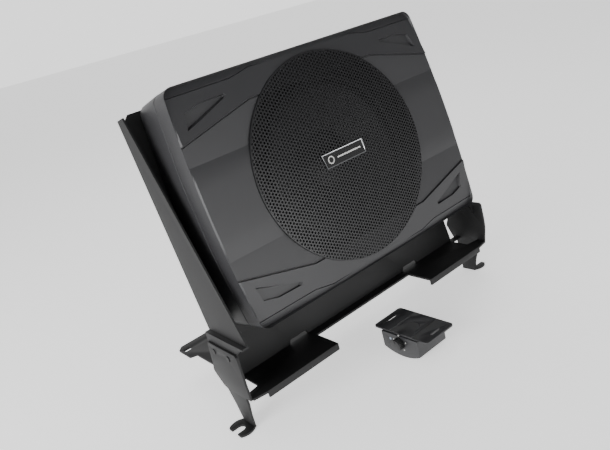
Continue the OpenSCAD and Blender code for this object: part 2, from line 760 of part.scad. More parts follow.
// Side plate, leaning leg and hook of the right-hand side
module leg() {
    t = leg_sheet;
    tip_x = side_x - (bend_z - ground_z) * tan(leg_lean);
    foot_x = tip_x - t / cos(leg_lean);
    from_face() {
        difference() {
            intersection() {
                // section of the bent sheet
                translate([0, 60, 0]) rotate([90, 0, 0]) linear_extrude(80) polygon([
                    [side_x, side_top], [side_x, bend_z], [tip_x, ground_z], [foot_x, ground_z],
                    [side_x - t, bend_z + t * tan(leg_lean / 2)], [side_x - t, side_top]]);
                // outline of the blank, seen from the side
                translate([foot_x - 5, 0, 0]) rotate([90, 0, 90]) linear_extrude(20) polygon([
                    [-5.5, side_top], [-8, side_top - 2.5], [-9, -160], [-8.6, bend_z], [-6, -192.4],
                    [3, -192.4], [5, -196], [5, -201], [12, -221], [14.5, -234], [14.5, ground_z],
                    [35, ground_z], [36.5, -214], [40, -194], [46, -191.4], [55.5, -176],
                    [54.5, bend_z], [52, -166], [47, side_top]]);
            }
            for (y = rivet_y)
                translate([side_x - 5, y, rivet_z]) rotate([0, 90, 0]) cylinder(h = 10, r = 2.05);
        }
        translate([0, face_y, ground_z]) difference() {
            intersection() {
                union() {
                    translate([hook_x, 0, 0]) cylinder(h = hook_t, r = hook_r);
                    translate([foot_x + 1, -10.2, 0]) cube([hook_x - foot_x - 1, 20, hook_t]);
                }
                translate([foot_x + 1, -hook_r - 1, -1])
                    cube([hook_end - foot_x - 1, 2 * hook_r + 2, hook_t + 2]);
            }
            translate([hook_mouth, 0, -1]) cylinder(h = hook_t + 2, d = hook_slot);
            translate([hook_mouth, -hook_slot / 2, -1]) cube([20, hook_slot, hook_t + 2]);
        }
    }
}

module right_leg() { color(black_steel) leg(); }

module left_leg() { color(black_steel) mirror([1, 0, 0]) leg(); }

module leg_rivets() {
    lap_x = side_x - leg_sheet - sheet;
    color([0.3, 0.3, 0.3]) from_face() both_sides() for (y = rivet_y)
        translate([lap_x, y, rivet_z]) rotate([0, 90, 0]) {
            cylinder(h = sheet + leg_sheet, r = 2);
            translate([0, 0, -1.2]) cylinder(h = 1.2, r = 3.6);
            translate([0, 0, sheet + leg_sheet]) cylinder(h = 0.8, r = 3.2);
        }
}

// ---------- remote ----------

// Section of the housing in Y and Z: straight sides, arched underside
function rem_section(d) =
    let (hw = rem_w / 2 - d, side = 6.5, sag = side - d, rr = (hw * hw + sag * sag) / (2 * sag),
        half = asin(hw / rr), top = rem_h - rem_plate_t - d)
    concat([[hw, top], [-hw, top]],
        [for (i = [-8:8]) [rr * sin(half * i / 8), d + rr - rr * cos(half * i / 8)]]);

module at_remote_screws() {
    for (y = [-rem_screw_y, rem_screw_y]) translate([rem_screw_x, y, 0]) children();
}

module at_remote_lamp() { translate([rem_front, rem_lamp_y, rem_lamp_z]) rotate([0, 90, 0]) children(); }

module remote_housing() {
    color(black_abs) at_remote() difference() {
        union() {
            difference() {
                translate([rem_front, 0, 0]) rotate([90, 0, 90])
                    linear_extrude(rem_d) polygon(rem_section(0));
                translate([rem_front + rem_wall, 0, 0]) rotate([90, 0, 90])
                    linear_extrude(rem_d - 2 * rem_wall) polygon(rem_section(rem_wall));
            }
            // posts for the screws that come up from below
            intersection() {
                at_remote_screws() translate([0, 0, 1]) cylinder(h = rem_h - rem_plate_t - 2, r = 3.8);
                translate([rem_front, 0, 0]) rotate([90, 0, 90])
                    linear_extrude(rem_d) polygon(rem_section(0));
            }
        }
        translate([rem_front - 1, 0, rem_knob_z]) rotate([0, 90, 0]) cylinder(h = 5, r = 3 + run_gap);
        at_remote_lamp() translate([0, 0, -1]) cylinder(h = 5, r = 1.55);
        translate([rem_back - 5, -6.1, 9.9]) cube([10, 12.2, 9.2]);
        at_remote_screws() {
            translate([0, 0, -1]) cylinder(h = rem_head_z + 1, r = 2.8);
            translate([0, 0, rem_head_z - 1]) cylinder(h = rem_h, r = 1.3);
        }
    }
}

module remote_plate() {
    r = 4;
    hx = rem_plate_d / 2;
    hy = rem_plate_w / 2;
    color(black_abs) at_remote() translate([0, 0, rem_h - rem_plate_t]) difference() {
        translate([rem_plate_x, 0, 0]) linear_extrude(rem_plate_t) difference() {
            polygon(concat(quarter(hx - r, hy - r, r, 0), quarter(r - hx, hy - r, r, 90),
                quarter(r - hx, r - hy, r, 180), quarter(hx - r, r - hy, r, 270)));
            for (y = [-rem_slot_y, rem_slot_y]) translate([0, y]) {
                square([12, 3.2], center = true);
                for (e = [-6, 6]) translate([e, 0]) circle(d = 3.2);
            }
        }
        at_remote_screws() translate([0, 0, -1]) cylinder(h = rem_plate_t + 0.4, r = 1.3);
    }
}

module remote_knob() {
    ribs = 20;
    color([0.04, 0.04, 0.04]) at_remote() translate([rem_front, 0, rem_knob_z]) rotate([0, 90, 0]) {
        difference() {
            translate([0, 0, -8]) cylinder(h = 7.6, r = rem_knob_r);
            for (i = [0:ribs - 1]) rotate(360 / ribs * i)
                translate([rem_knob_r + 0.3, 0, -8.5]) cylinder(h = 8.6, r = 0.7, $fn = 16);
            translate([-rem_knob_r - 1, -0.5, -8.5]) cube([5, 1, 1]);
        }
        translate([0, 0, -0.6]) cylinder(h = 11, r = 3);
    }
}

module remote_pot() {
    color([0.5, 0.5, 0.52]) at_remote() difference() {
        translate([rem_front + rem_wall, -6, rem_knob_z - 6]) cube([9, 12, 12]);
        translate([rem_front, 0, rem_knob_z]) rotate([0, 90, 0]) cylinder(h = 20, r = 3 + run_gap);
    }
}

module remote_board() {
    color([0.05, 0.3, 0.12]) at_remote() translate([rem_front + 5, -17.5, 8]) cube([rem_d - 12, 35, 1.6]);
}

module remote_lamp() {
    color([0.3, 0.5, 0.95]) at_remote() at_remote_lamp() {
        translate([0, 0, -0.5]) cylinder(h = 4, r = 1.5, $fn = 32);
        translate([0, 0, rem_wall]) cylinder(h = 1.2, r = 2, $fn = 32);
    }
}

module remote_jack() {
    color([0.12, 0.12, 0.12]) at_remote() difference() {
        translate([rem_back - 12, -6, 10]) cube([12.4, 12, 9]);
        translate([rem_back - 9, -4.8, 11.2]) cube([12, 9.6, 6.6]);
    }
}

module remote_screws() {
    color("silver") at_remote() at_remote_screws() {
        translate([0, 0, rem_head_z - 1.6]) cylinder(h = 1.6, r = 2.5, $fn = 32);
        translate([0, 0, rem_head_z]) cylinder(h = rem_h - 0.8 - rem_head_z, r = 1.2, $fn = 32);
    }
}

front_cover();
rear_shell();
shell_seal();
grille();
badge();
driver_basket();
basket_gasket();
driver_screws();
surround();
cone();
dust_cap();
coil_former();
coil_winding();
spider();
top_plate();
magnet();
yoke();
driver_terminals();
speaker_leads();
amplifier_board();
heat_sink();
power_transistors();
toroid_coils();
capacitors();
board_screws();
control_panel();
level_knob();
crossover_knob();
boost_knob();
trim_pots();
phase_slider();
phase_switch();
rca_sockets();
power_socket();
fuse();
remote_socket();
power_lamp();
shell_screws();
carrier_plate();
carrier_bolts();
base_frame();
left_leg();
right_leg();
leg_rivets();
lip_rivets();
remote_housing();
remote_plate();
remote_knob();
remote_pot();
remote_board();
remote_lamp();
remote_jack();
remote_screws();
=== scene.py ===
import json
import math

import bmesh
import bpy
from mathutils import Matrix, Vector

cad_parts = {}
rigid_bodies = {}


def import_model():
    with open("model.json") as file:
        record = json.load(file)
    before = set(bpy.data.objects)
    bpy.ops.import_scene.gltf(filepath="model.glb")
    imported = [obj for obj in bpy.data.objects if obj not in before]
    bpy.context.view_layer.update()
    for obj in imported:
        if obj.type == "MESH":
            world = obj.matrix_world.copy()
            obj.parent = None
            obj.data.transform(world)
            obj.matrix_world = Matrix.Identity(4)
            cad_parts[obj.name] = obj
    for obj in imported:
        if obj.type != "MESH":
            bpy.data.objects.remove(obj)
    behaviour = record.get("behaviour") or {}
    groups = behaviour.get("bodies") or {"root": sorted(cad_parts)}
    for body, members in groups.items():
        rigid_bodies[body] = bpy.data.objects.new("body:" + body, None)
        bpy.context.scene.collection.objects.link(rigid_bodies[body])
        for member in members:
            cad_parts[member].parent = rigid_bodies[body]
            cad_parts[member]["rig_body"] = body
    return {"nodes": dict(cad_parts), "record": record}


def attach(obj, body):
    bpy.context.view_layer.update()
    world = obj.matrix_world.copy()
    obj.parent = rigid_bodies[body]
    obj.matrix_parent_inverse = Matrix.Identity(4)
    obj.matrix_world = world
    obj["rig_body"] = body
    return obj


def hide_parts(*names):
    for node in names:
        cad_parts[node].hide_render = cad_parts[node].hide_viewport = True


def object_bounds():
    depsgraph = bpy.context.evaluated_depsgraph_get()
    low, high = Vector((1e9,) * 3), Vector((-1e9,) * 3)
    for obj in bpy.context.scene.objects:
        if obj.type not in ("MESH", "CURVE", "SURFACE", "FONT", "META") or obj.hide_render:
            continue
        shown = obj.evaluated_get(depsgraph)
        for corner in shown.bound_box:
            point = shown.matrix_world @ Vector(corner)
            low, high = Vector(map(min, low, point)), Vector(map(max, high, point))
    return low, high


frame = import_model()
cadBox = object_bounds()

mm = 0.001
scene = bpy.context.scene

# The cabinet's front face: u to the right, v up the leaning face, n out of it.
lean = math.radians(12)
faceCentre = Vector((0, -25 * mm, 237 * mm))
faceMatrix = Matrix.Translation(faceCentre) @ Matrix.Rotation(math.pi / 2 - lean, 4, "X")
print("frame loaded")


# Small helpers

# sRGB hex to the linear colour that the shader takes.
def linear(hexColour):
    out = []
    for i in (0, 2, 4):
        c = int(hexColour[i:i + 2], 16) / 255
        out.append(c / 12.92 if c <= 0.04045 else ((c + 0.055) / 1.055) ** 2.4)
    return (*out, 1.0)


# Adds a node; links maps an input to the output that feeds it, values are sockets or settings.
def addNode(tree, kind, links=None, **values):
    node = tree.nodes.new(kind)
    for key, value in values.items():
        if hasattr(node, key):
            setattr(node, key, value)
        else:
            node.inputs[key.replace("_", " ")].default_value = value
    for key, source in (links or {}).items():
        tree.links.new(source, node.inputs[key])
    return node


# Turns a bmesh into an object at the origin, smooth except across sharp edges.
def finishMesh(mesh, name, sharp=35, recalculate=True):
    data = bpy.data.meshes.new(name)
    if recalculate:
        bmesh.ops.recalc_face_normals(mesh, faces=mesh.faces)
    mesh.normal_update()
    mesh.to_mesh(data)
    mesh.free()
    for face in data.polygons:
        face.use_smooth = True
    data.set_sharp_from_angle(angle=math.radians(sharp))
    obj = bpy.data.objects.new(name, data)
    scene.collection.objects.link(obj)
    return obj


# Gives a piece its material and its body, and hides the CAD nodes it stands for.
def dress(obj, material, body, slotName, *nodes):
    obj.data.materials.clear()
    obj.data.materials.append(material)
    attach(obj, body)
    if nodes:
        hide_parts(*nodes)
    return obj


# Materials

# A fine-grained surface: two close tones, an uneven gloss and a grain of so many millimetres.
def coating(name, dark, light, roughness, spread, grain, bump, metallic=0.0, ior=1.5, coat=0.0):
    material = bpy.data.materials.new(name)
    material.use_nodes = True
    tree = material.node_tree
    shader = tree.nodes["Principled BSDF"]
    place = addNode(tree, "ShaderNodeTexCoord").outputs["Object"]
    fine = addNode(tree, "ShaderNodeTexNoise", {"Vector": place}, Scale=1 / (grain * mm), Detail=2.0)
    broad = addNode(tree, "ShaderNodeTexNoise", {"Vector": place}, Scale=22.0, Detail=3.0)
    tone = addNode(tree, "ShaderNodeMix", {"Factor": broad.outputs["Fac"]}, data_type="RGBA")
    tone.inputs["A"].default_value = linear(dark)
    tone.inputs["B"].default_value = linear(light)
    gloss = addNode(tree, "ShaderNodeMapRange", {"Value": fine.outputs["Fac"]})
    gloss.inputs["To Min"].default_value = roughness - spread
    gloss.inputs["To Max"].default_value = roughness + spread
    relief = addNode(tree, "ShaderNodeBump", {"Height": fine.outputs["Fac"]},
                     Strength=bump, Distance=0.1 * mm)
    tree.links.new(tone.outputs["Result"], shader.inputs["Base Color"])
    tree.links.new(gloss.outputs["Result"], shader.inputs["Roughness"])
    tree.links.new(relief.outputs["Normal"], shader.inputs["Normal"])
    shader.inputs["Metallic"].default_value = metallic
    if not metallic:
        shader.inputs["IOR"].default_value = ior
    shader.inputs["Coat Weight"].default_value = coat
    shader.inputs["Coat Roughness"].default_value = 0.25
    return material


# Metal with fine lines along one axis.
def brushed(name, dark, light, roughness, stretch=(1, 1, 12), scale=900.0):
    material = bpy.data.materials.new(name)
    material.use_nodes = True
    tree = material.node_tree
    shader = tree.nodes["Principled BSDF"]
    place = addNode(tree, "ShaderNodeTexCoord").outputs["Object"]
    scaled = addNode(tree, "ShaderNodeMapping", {"Vector": place})
    scaled.inputs["Scale"].default_value = stretch
    lines = addNode(tree, "ShaderNodeTexNoise", {"Vector": scaled.outputs["Vector"]},
                    Scale=scale, Detail=3.0)
    tone = addNode(tree, "ShaderNodeMix", {"Factor": lines.outputs["Fac"]}, data_type="RGBA")
    tone.inputs["A"].default_value = linear(dark)
    tone.inputs["B"].default_value = linear(light)
    gloss = addNode(tree, "ShaderNodeMapRange", {"Value": lines.outputs["Fac"]})
    gloss.inputs["To Min"].default_value = roughness - 0.08
    gloss.inputs["To Max"].default_value = roughness + 0.08
    tree.links.new(tone.outputs["Result"], shader.inputs["Base Color"])
    tree.links.new(gloss.outputs["Result"], shader.inputs["Roughness"])
    shader.inputs["Metallic"].default_value = 1.0
    return material


# Rings or wires laid side by side, every pitch millimetres along the face's n.
def banded(name, dark, light, pitch, roughness, metallic=0.0):
    material = bpy.data.materials.new(name)
    material.use_nodes = True
    tree = material.node_tree
    shader = tree.nodes["Principled BSDF"]
    place = addNode(tree, "ShaderNodeTexCoord").outputs["Object"]
    turned = addNode(tree, "ShaderNodeMapping", {"Vector": place})
    turned.inputs["Rotation"].default_value = (lean - math.pi / 2, 0, 0)
    wires = addNode(tree, "ShaderNodeTexWave", {"Vector": turned.outputs["Vector"]},
                    bands_direction="Z", Scale=1 / (pitch * mm) * 0.05)
    tone = addNode(tree, "ShaderNodeMix", {"Factor": wires.outputs["Fac"]}, data_type="RGBA")
    tone.inputs["A"].default_value = linear(dark)
    tone.inputs["B"].default_value = linear(light)
    relief = addNode(tree, "ShaderNodeBump", {"Height": wires.outputs["Fac"]},
                     Strength=0.5, Distance=0.2 * mm)
    tree.links.new(tone.outputs["Result"], shader.inputs["Base Color"])
    tree.links.new(relief.outputs["Normal"], shader.inputs["Normal"])
    shader.inputs["Roughness"].default_value = roughness
    shader.inputs["Metallic"].default_value = metallic
    return material


# Moulded black ABS with a spark-eroded grain
absBlack = coating("abs_fine_grain", "262628", "2e2e30", 0.48, 0.06, 0.45, 0.6, ior=1.53)
# Satin black powder coat on folded steel
powderCoat = coating("powder_coat_black", "0f0f10", "151516", 0.6, 0.05, 0.8, 0.25, ior=1.45)
# Black enamel on perforated steel
grilleBlack = coating("grille_enamel", "161617", "1c1c1e", 0.4, 0.05, 0.6, 0.2, ior=1.5)
# Black nylon
nylonBlack = coating("nylon_black", "151516", "1b1b1c", 0.42, 0.06, 0.5, 0.3, ior=1.53)
# Butyl rubber
rubberBlack = coating("butyl_rubber", "101011", "151516", 0.6, 0.06, 0.7, 0.3, ior=1.52)
# Open-cell foam
foamBlack = coating("foam_black", "0e0e0e", "161616", 0.92, 0.04, 0.5, 1.0, ior=1.45)
# Pressed paper cone, coated black
conePaper = coating("coned_paper", "202022", "2a2a2c", 0.55, 0.08, 1.2, 0.5, ior=1.5)
# Phenolic-dipped cotton
spiderCloth = coating("dipped_cotton", "9a7430", "b58c42", 0.8, 0.05, 0.5, 1.0, ior=1.5)
# Ground ferrite
ferrite = coating("ferrite", "2b2c2f", "37383b", 0.5, 0.1, 0.9, 0.5, ior=2.0)
# Solder resist on glass epoxy
boardGreen = coating("solder_resist", "0d3a1c", "14522a", 0.3, 0.05, 1.5, 0.3, ior=1.55, coat=0.4)
# Shrink sleeve
sleeveBlue = coating("shrink_sleeve", "12162a", "1a2038", 0.25, 0.05, 2.0, 0.1, ior=1.52)
# Moulded epoxy
epoxyBlack = coating("epoxy_black", "18181a", "202022", 0.55, 0.08, 0.4, 0.5, ior=1.55)
# PVC lead sleeve
pvcRed = coating("pvc_red", "7a0f0f", "941616", 0.4, 0.05, 1.0, 0.2, ior=1.53)
# Polyamide-imide former
formerTan = coating("former_tan", "a5823e", "bf9850", 0.35, 0.06, 1.0, 0.2, ior=1.6)
# White acetal
acetalWhite = coating("acetal_white", "c9c9c4", "d8d8d3", 0.35, 0.05, 0.8, 0.2, ior=1.48)
# Amber polycarbonate
fuseAmber = coating("polycarbonate_amber", "b3560c", "cc6a14", 0.2, 0.05, 1.0, 0.1, ior=1.585)
# Clear acrylic
lensClear = coating("acrylic_lens", "8d97a6", "a4adba", 0.12, 0.04, 1.0, 0.1, ior=1.49)
# Zinc-plated steel
zincSteel = brushed("zinc_plate", "8d8f93", "a4a6aa", 0.32)
# Extruded aluminium
aluminium = brushed("aluminium_extrusion", "a9abae", "bcbec1", 0.38, (1, 12, 12))
# Nickel-plated brass
brass = brushed("brass_plate", "b2914e", "c9a963", 0.28, (1, 12, 12))
# Enamelled copper wire
copperWire = banded("copper_wire", "7c3a1a", "c06a35", 0.35, 0.3, 1.0)
# Piano-black lacquer on the badge
lacquer = coating("black_lacquer", "0b0b0c", "101011", 0.14, 0.04, 2.0, 0.05, ior=1.5, coat=1.0)
# White printing ink
inkWhite = coating("printing_ink", "c4c4c1", "d2d2cf", 0.45, 0.05, 0.6, 0.1, ior=1.48)
# Chromium plate
chrome = brushed("chromium_plate", "c4c6c9", "d4d6d8", 0.14)

finishOf = {
    "cabinet_abs": absBlack, "rubber": rubberBlack, "grille_steel": grilleBlack,
    "badge_plastic": nylonBlack, "basket_steel": powderCoat, "foam_gasket": foamBlack,
    "zinc_screw": zincSteel, "cone_paper": conePaper, "coil_former": formerTan,
    "copper": copperWire, "spider_cloth": spiderCloth, "magnet_steel": zincSteel,
    "ferrite": ferrite, "brass": brass, "lead_sleeve": pvcRed, "circuit_board": boardGreen,
    "aluminium": aluminium, "component_black": epoxyBlack, "component_grey": zincSteel,
    "capacitor_sleeve": sleeveBlue, "panel_plastic": nylonBlack, "knob_plastic": nylonBlack,
    "slider_plastic": acetalWhite, "fuse_plastic": fuseAmber, "lamp": lensClear,
    "bracket_steel": powderCoat, "black_rivet": powderCoat, "remote_abs": absBlack,
}
slotOf = {part["node"]: part["material_slot"] for part in frame["record"]["subparts"]}
bodyOf = {node: obj["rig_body"] for node, obj in frame["nodes"].items()}
for node, obj in frame["nodes"].items():
    obj.data.materials.clear()
    obj.data.materials.append(finishOf[slotOf[node]])
print("materials made")


# Softened copies of plain CAD parts

# A copy of a CAD part with its doubles merged, flats dissolved and corners rounded.
def softened(node, width, segments=2, sharpest=25):
    mesh = bmesh.new()
    mesh.from_mesh(frame["nodes"][node].data)
    bmesh.ops.remove_doubles(mesh, verts=mesh.verts, dist=0.005 * mm)
    bmesh.ops.dissolve_limit(mesh, angle_limit=math.radians(1.0), verts=mesh.verts, edges=mesh.edges)
    corners = [e for e in mesh.edges if len(e.link_faces) == 2
               and e.calc_face_angle() > math.radians(sharpest)]
    bmesh.ops.bevel(mesh, geom=corners, offset=width, offset_type="OFFSET", segments=segments,
                    profile=0.5, affect="EDGES", clamp_overlap=True, material=-1)
    bmesh.ops.remove_doubles(mesh, verts=mesh.verts, dist=0.003 * mm)
    obj = finishMesh(mesh, node + "_soft", 40, recalculate=False)
    return dress(obj, finishOf[slotOf[node]], bodyOf[node], slotOf[node], node)


# Corner radius of each softened part, in millimetres
softening = {
    "carrier_plate": 0.45, "base_frame": 0.5, "left_leg": 0.5, "right_leg": 0.5,
    "control_panel": 0.25, "level_knob": 0.3, "crossover_knob": 0.3, "boost_knob": 0.3,
    "power_socket": 0.25, "remote_socket": 0.25, "fuse": 0.3, "remote_jack": 0.25,
    "remote_housing": 0.7, "remote_knob": 0.3, "remote_plate": 0.35, "rear_shell": 1.2,
}
for node, width in softening.items():
    softened(node, width * mm)
print("sheet metal and small parts softened")


# Front cover

# Cuts each cutter out of obj, exactly, and keeps the result as its mesh.
def applied(obj, *cutters):
    for cutter in cutters:
        cut = obj.modifiers.new("cut", "BOOLEAN")
        cut.operation = "DIFFERENCE"
        cut.solver = "EXACT"
        cut.object = cutter
    bpy.context.view_layer.update()
    evaluated = obj.evaluated_get(bpy.context.evaluated_depsgraph_get())
    result = bpy.data.meshes.new_from_object(evaluated)
    obj.modifiers.clear()
    obj.data = result
    for cutter in cutters:
        bpy.data.objects.remove(cutter)
    return obj


# A bmesh prism over a flat outline, drawn in by draft at its low end; all in millimetres.
def prism(points, low, high, draft=0.0):
    mesh = bmesh.new()
    top = mesh.faces.new([mesh.verts.new((u * mm, v * mm, high * mm)) for u, v in points])
    mesh.normal_update()
    if top.normal.z < 0:
        top.normal_flip()
    result = bmesh.ops.extrude_face_region(mesh, geom=[top])
    floorVerts = [g for g in result["geom"] if isinstance(g, bmesh.types.BMVert)]
    bmesh.ops.translate(mesh, verts=floorVerts, vec=(0, 0, (low - high) * mm))
    if draft:
        centre = sum((v.co for v in floorVerts), Vector()) / len(floorVerts)
        size = max((v.co - centre).length for v in floorVerts)
        across, along = 1 - draft * mm / size, 1 - 2 * draft * mm / size
        bmesh.ops.scale(mesh, verts=floorVerts, vec=(across, along, 1),
                        space=Matrix.Translation(-centre))
    bmesh.ops.recalc_face_normals(mesh, faces=mesh.faces)
    return mesh


# Moves a bmesh from its own axes to its place and makes it an object.
def placed(mesh, name, matrix=faceMatrix, sharp=30):
    mesh.transform(matrix)
    return finishMesh(mesh, name, sharp)


def circlePoint(radius, angle):
    return radius * math.cos(angle), radius * math.sin(angle)


def disc(radius, low, high, segments=160):
    return prism([circlePoint(radius, 2 * math.pi * i / segments) for i in range(segments)], low, high)


# A closed section of (radius, height) points spun round the n axis, in millimetres.
def spun(mesh, section, steps, centre=(0, 0, 0)):
    u, v, n = centre
    loop = [mesh.verts.new(((u + r) * mm, v * mm, (n + h) * mm)) for r, h in section]
    edges = [mesh.edges.new((loop[i], loop[(i + 1) % len(loop)])) for i in range(len(loop))]
    bmesh.ops.spin(mesh, geom=loop + edges, axis=(0, 0, 1), cent=(u * mm, v * mm, 0),
                   angle=2 * math.pi, steps=steps, use_merge=True)


cover = {
    "halfWidth": 174.5, "halfHeight": 123.8, "corner": 11.0, "bow": 5.5,
    "seam": 27.0, "edge": 1.3, "edgeDrop": 2.4, "wall": 2.5, "skin": 8.5,
    "wingStep": 1.5, "wingSlope": 0.12, "groove": 1.2, "middle": 0.8, "valley": 2.5,
    "crease": 48.0, "flat": 24.0,
    "bandSlope": 0.2, "bandGroove": 1.0, "recessDepth": 5.5, "recessDraft": 3.5,
    "seat": 1.6, "seatRadius": 115.1, "openRadius": 109.0, "barHeight": 88.5,
}
# The wing's lower border and the band's lower border, in one quarter of the face
wingOuter, wingInner = Vector((171.2, 69.0)), Vector((84.8, 90.3))
bandOuter, bandInner = Vector((95.0, 114.0)), Vector((71.0, 118.7))


# How far a point lies outside the line from a to b, away from the grille's centre.
def beyond(point, a, b):
    along = (b - a).normalized()
    normal = Vector((along.y, -along.x))
    if normal.y < 0:
        normal = -normal
    return (point - a).dot(normal)


# The cover's rounded outline, with bowed ends, drawn in by inset.
def coverOutline(inset=0.0, steps=12, turns=20):
    c = cover
    centre = Vector((c["halfWidth"] - c["bow"] - c["corner"], c["halfHeight"] - c["corner"]))
    radius = c["corner"] - inset
    quarter = []
    for i in range(turns + 1):
        angle = math.pi / 2 * i / turns
        quarter.append((centre.x + radius * math.sin(angle), centre.y + radius * math.cos(angle)))
    bowed = []
    for i in range(1, steps):
        v = centre.y * (1 - i / steps)
        bowed.append((centre.x + radius + c["bow"] * (1 - (v / centre.y) ** 2), v))
    rightHalf = quarter + bowed
    rightHalf += [(centre.x + radius + c["bow"], 0.0)] + [(u, -v) for u, v in reversed(rightHalf)]
    return rightHalf + [(-u, v) for u, v in reversed(rightHalf)]


# Height of the moulded face, in millimetres.
def coverHeight(u, v):
    c = cover
    p = Vector((abs(u), abs(v)))
    band = min(p.y - bandOuter.y, max(beyond(p, bandOuter, bandInner), p.y - bandInner.y))
    wing = max(beyond(p, wingOuter, wingInner), p.y - wingInner.y)
    fall = -c["wingSlope"] * max(0.0, wing)
    if band > 0:
        fade = min(1.0, max(0.0, (p.x - 40) / 30))
        dip = c["bandGroove"] * fade * max(0.0, 1 - abs(band - 0.5) / 0.5)
        return fall - c["bandSlope"] * band - dip
    if wing >= 0:
        return fall
    if p.y > c["crease"]:
        rise = (p.y - c["crease"]) / (wingInner.y - c["crease"])
        panel = -c["valley"] + (c["valley"] - c["wingStep"]) * rise
    else:
        rise = max(0.0, (p.y - c["flat"]) / (c["crease"] - c["flat"]))
        panel = -c["middle"] - (c["valley"] - c["middle"]) * rise ** 2
    if wing < -1.75:
        return panel
    if wing < -1.25:
        return panel - c["groove"] * (wing + 1.75) / 0.5
    if wing < -0.45:
        return panel - c["groove"]
    return (panel - c["groove"]) * -wing / 0.45


# Cuts the upward faces along a line, given in one quarter and repeated in all four.
def cutAcross(mesh, point, direction):
    for su in (1, -1):
        for sv in (1, -1):
            faces = [f for f in mesh.faces if f.normal.z > 0.1]
            geom = faces + list({e for f in faces for e in f.edges})
            geom += list({v for f in faces for v in f.verts})
            bmesh.ops.bisect_plane(mesh, geom=geom, dist=0.02 * mm,
                                   plane_co=(su * point[0] * mm, sv * point[1] * mm, 0),
                                   plane_no=(-sv * direction[1], su * direction[0], 0))


shell = prism(coverOutline(), -cover["seam"], -cover["edgeDrop"])
shell.faces.ensure_lookup_table()
lid = max(shell.faces, key=lambda f: f.calc_center_median().z)
bmesh.ops.inset_region(shell, faces=[lid], thickness=cover["edge"] * mm, use_even_offset=True)
for vert in lid.verts:
    vert.co.z = 0
shell.normal_update()
for i in range(7):
    cutAcross(shell, (0, cover["flat"] + (cover["crease"] - cover["flat"]) * i / 6), (1, 0))
across = (wingInner - wingOuter).normalized()
outward = Vector((across.y, -across.x)) * (1 if across.x < 0 else -1)
cutAcross(shell, wingInner, (outward + Vector((0, 1))).normalized())
for depth in (0, 0.45, 1.25, 1.75):
    cutAcross(shell, wingOuter - Vector((0, depth / abs(across.x))), across)
    cutAcross(shell, (0, wingInner.y - depth), (1, 0))
across = (bandInner - bandOuter).normalized()
for depth in (0, 0.5, 1.0):
    cutAcross(shell, bandOuter + Vector((0, depth / abs(across.x))), across)
    cutAcross(shell, (0, bandOuter.y + depth), (1, 0))
    cutAcross(shell, (0, bandInner.y + depth), (1, 0))
rim = {v for v in shell.verts if v.co.z < -cover["edgeDrop"] * mm + 1e-6}
for vert in shell.verts:
    if vert not in rim and vert.co.z > -cover["edgeDrop"] * mm + 0.1 * mm:
        onRing = vert.co.z < -0.01 * mm
        height = coverHeight(vert.co.x / mm, vert.co.y / mm) * mm
        share = 1 - vert.co.z / (-cover["edgeDrop"] * mm) if onRing else 1
        vert.co.z = -cover["edgeDrop"] * mm + (height + cover["edgeDrop"] * mm) * share
upward = [f for f in shell.faces if f.normal.z > 0.1]
bmesh.ops.connect_verts_nonplanar(shell, angle_limit=math.radians(0.3), faces=upward)
bmesh.ops.dissolve_limit(shell, angle_limit=math.radians(0.2), verts=shell.verts, edges=shell.edges)
coverPiece = placed(shell, "front_cover_moulding")

recess = [(160, 79.5), (156.5, 97), (138, 102.5), (107, 103.2), (105.5, 100)]
cutters = []
for su in (1, -1):
    for sv in (1, -1):
        mirrored = [(su * u, sv * v) for u, v in recess]
        pocket = prism(mirrored, -cover["recessDepth"], 1.0, cover["recessDraft"])
        cutters.append(placed(pocket, "recess"))
cutters.append(placed(disc(cover["seatRadius"], -cover["seat"], 6), "seat"))
halfAngle = math.asin(cover["barHeight"] / cover["openRadius"])
arc = [(cover["openRadius"] * math.cos(halfAngle * (i / 24 * 2 - 1)),
        cover["openRadius"] * math.sin(halfAngle * (i / 24 * 2 - 1))) for i in range(25)]
opening = arc + [(-u, v) for u, v in reversed(arc)]
cutters.append(placed(prism(opening, -cover["skin"] - 1, 5), "opening"))
inside = prism(coverOutline(cover["wall"]), -cover["seam"] - 1, -cover["skin"])
cutters.append(placed(inside, "inside"))
applied(coverPiece, *cutters)

mesh = bmesh.new()
mesh.from_mesh(coverPiece.data)
bmesh.ops.remove_doubles(mesh, verts=mesh.verts, dist=0.01 * mm)
bmesh.ops.dissolve_limit(mesh, angle_limit=math.radians(0.2), verts=mesh.verts, edges=mesh.edges)
corners = [e for e in mesh.edges if len(e.link_faces) == 2 and e.calc_face_angle() > math.radians(28)]
bmesh.ops.bevel(mesh, geom=corners, offset=0.35 * mm, offset_type="OFFSET", segments=2, profile=0.5,
                affect="EDGES", clamp_overlap=True, material=-1)
# tube and ring that carry the driver, and the posts for the shell screws
driverSeat = {
    "section": [(113, -5.5), (110.2, -5.5), (110.2, -14), (88, -14), (88, -17), (113, -17)],
    "steps": 128, "postU": 138, "postV": 108, "postRadius": 4.6, "postLength": 22, "postMiddle": -16,
}
ring = bmesh.new()
spun(ring, driverSeat["section"], driverSeat["steps"])
for u in (-driverSeat["postU"], driverSeat["postU"]):
    for v in (-driverSeat["postV"], driverSeat["postV"]):
        bmesh.ops.create_cone(
            ring, cap_ends=True, segments=24, radius1=driverSeat["postRadius"] * mm,
            radius2=driverSeat["postRadius"] * mm, depth=driverSeat["postLength"] * mm,
            matrix=Matrix.Translation((u * mm, v * mm, driverSeat["postMiddle"] * mm)))
bmesh.ops.recalc_face_normals(ring, faces=ring.faces)
ring.transform(faceMatrix)
extra = bpy.data.meshes.new("ring")
ring.to_mesh(extra)
mesh.from_mesh(extra)
bpy.data.objects.remove(coverPiece)
coverPiece = finishMesh(mesh, "front_cover_moulding", 5, recalculate=False)
